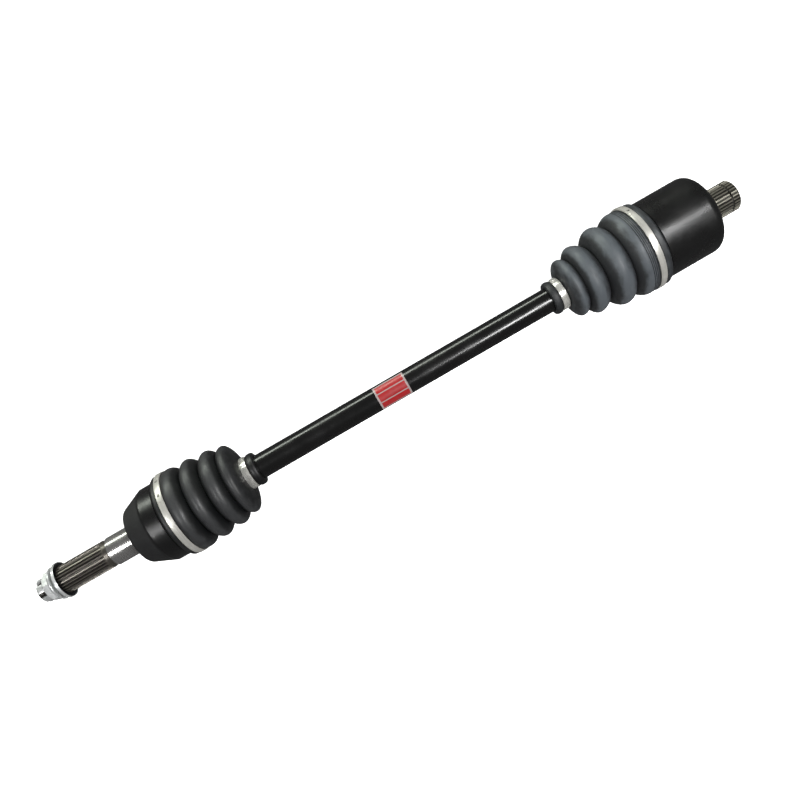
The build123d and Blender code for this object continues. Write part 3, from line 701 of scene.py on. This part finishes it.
def small_clamp(end, start_x, seed):
    """A thin band crumpled by its crimping tool, with a folded buckle."""
    node = end + "_small_clamp"
    end_x = start_x + SMALL_CLAMP_WIDTH
    outer_r = SMALL_CLAMP_R + CLAMP_THICKNESS
    mesh = closed_band(start_x, end_x, SMALL_CLAMP_R)
    for vert in mesh.verts:
        out = Vector((0, vert.co.y, vert.co.z))
        if out.length > SMALL_CLAMP_R + CLAMP_THICKNESS / 2:
            crumple = noise.noise(vert.co * 420 + Vector((seed, 0, 0))) * CRUMPLE_HEIGHT
            vert.co += out.normalized() * crumple
    clamp_piece(end + "_small_band", mesh, crimp_steel, "bar", node)
    buckle = strip(
        start_x + 1.0 * MM, end_x - 1.0 * MM, outer_r - 0.1 * MM, outer_r + 0.9 * MM, 70, 26, 0.25 * MM
    )
    clamp_piece(end + "_small_buckle", buckle, crimp_steel, "bar", node)


large_clamp("outboard", -0.2389, 0.0439, "outboard_housing", 52)
large_clamp("inboard", 0.2855, 0.04444, "inboard_cup", 72)
small_clamp("outboard", -0.1621, 2.0)
small_clamp("inboard", 0.1949, 9.0)


# ---------------------------------------------------------------- hub thread

def make_thread():
    """The threaded end of the wheel stub: a tooth's section wound along the shaft line."""
    mesh = bmesh.new()
    section = [
        (0, THREAD_ROOT_R), (0.5 * MM, THREAD_CREST_R), (0.68 * MM, THREAD_CREST_R),
        (1.18 * MM, THREAD_ROOT_R), (THREAD_PITCH, THREAD_ROOT_R),
    ]
    points = [mesh.verts.new((THREAD_START_X + along, 0, radius)) for along, radius in section]
    edges = [mesh.edges.new(pair) for pair in zip(points[:-1], points[1:])]
    turns = int((THREAD_END_X - THREAD_START_X) / THREAD_PITCH) - 1
    bmesh.ops.spin(
        mesh, geom=points + edges, cent=(0, 0, 0), axis=(1, 0, 0),
        dvec=(THREAD_PITCH / THREAD_TURN_STEPS, 0, 0),
        angle=2 * math.pi * turns, steps=THREAD_TURN_STEPS * turns,
    )
    bmesh.ops.remove_doubles(mesh, verts=mesh.verts, dist=2e-6)
    wall = finish_mesh("hub_thread_form", mesh, thread_steel, math.radians(25))
    depth = wall.modifiers.new("depth", "SOLIDIFY")
    depth.thickness = 0.25 * MM
    depth.offset = -1
    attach(wall, "outboard_housing")


make_thread()


# ---------------------------------------------------------------- floor, lights and camera

def make_floor():
    """A pale floor that glows a little and isn't mirrored in the metal."""
    mesh = bmesh.new()
    bmesh.ops.create_grid(mesh, x_segments=1, y_segments=1, size=FLOOR_HALF_SIZE)
    bmesh.ops.translate(mesh, verts=mesh.verts, vec=(0, 0, FLOOR_Z))
    material, tree, shader = new_material("pale floor")
    shader.inputs["Base Color"].default_value = grey(0.93)
    shader.inputs["Roughness"].default_value = 0.9
    shader.inputs["Specular IOR Level"].default_value = 0.1
    shader.inputs["Emission Color"].default_value = grey(1)
    shader.inputs["Emission Strength"].default_value = 0.80
    data = bpy.data.meshes.new("floor")
    mesh.to_mesh(data)
    mesh.free()
    data.materials.append(material)
    floor = bpy.data.objects.new("floor", data)
    bpy.context.collection.objects.link(floor)
    floor.visible_glossy = False


def softbox(name, place, target, width, height, power, colour=(1, 1, 1), seen_in_gloss=True):
    data = bpy.data.lights.new(name, "AREA")
    data.shape = "RECTANGLE"
    data.size, data.size_y = width, height
    data.energy = power
    data.color = colour
    lamp = bpy.data.objects.new(name, data)
    bpy.context.collection.objects.link(lamp)
    lamp.location = place
    lamp.rotation_euler = (Vector(target) - Vector(place)).to_track_quat("-Z", "Y").to_euler()
    lamp.visible_glossy = seen_in_gloss


make_floor()
softbox("overhead fill", (0, 0, 2.4), (0, 0, 0), 4.0, 4.0, 46, seen_in_gloss=False)
softbox("side box", (-0.25, 1.2, 0.31), (-0.1, 0, 0), 1.7, 0.20, 16, (0.94, 1.0, 0.90))
softbox("gearbox end strip", (0.53, -0.17, 1.1), (0.40, -0.03, 0), 0.74, 0.14, 14)
softbox("wheel end strip", (-0.82, -0.15, 1.1), (-0.35, 0, 0), 0.50, 0.08, 6)

world = bpy.data.worlds.new("white room")
bpy.context.scene.world = world
world.use_nodes = True
background = world.node_tree.nodes["Background"]
background.inputs["Color"].default_value = (1, 1, 1, 1)
background.inputs["Strength"].default_value = 0.10
bpy.context.scene.view_settings.view_transform = "Standard"

camera_data = bpy.data.cameras.new("camera")
camera_data.sensor_width = 36
camera_data.lens = CAMERA_HEIGHT * 45
camera_data.clip_start = 0.01
camera_data.clip_end = 20
camera = bpy.data.objects.new("camera", camera_data)
bpy.context.collection.objects.link(camera)
camera.location = (0.008, -0.01225, CAMERA_HEIGHT)
camera.rotation_euler = (0, 0, math.radians(-30))
bpy.context.scene.camera = camera
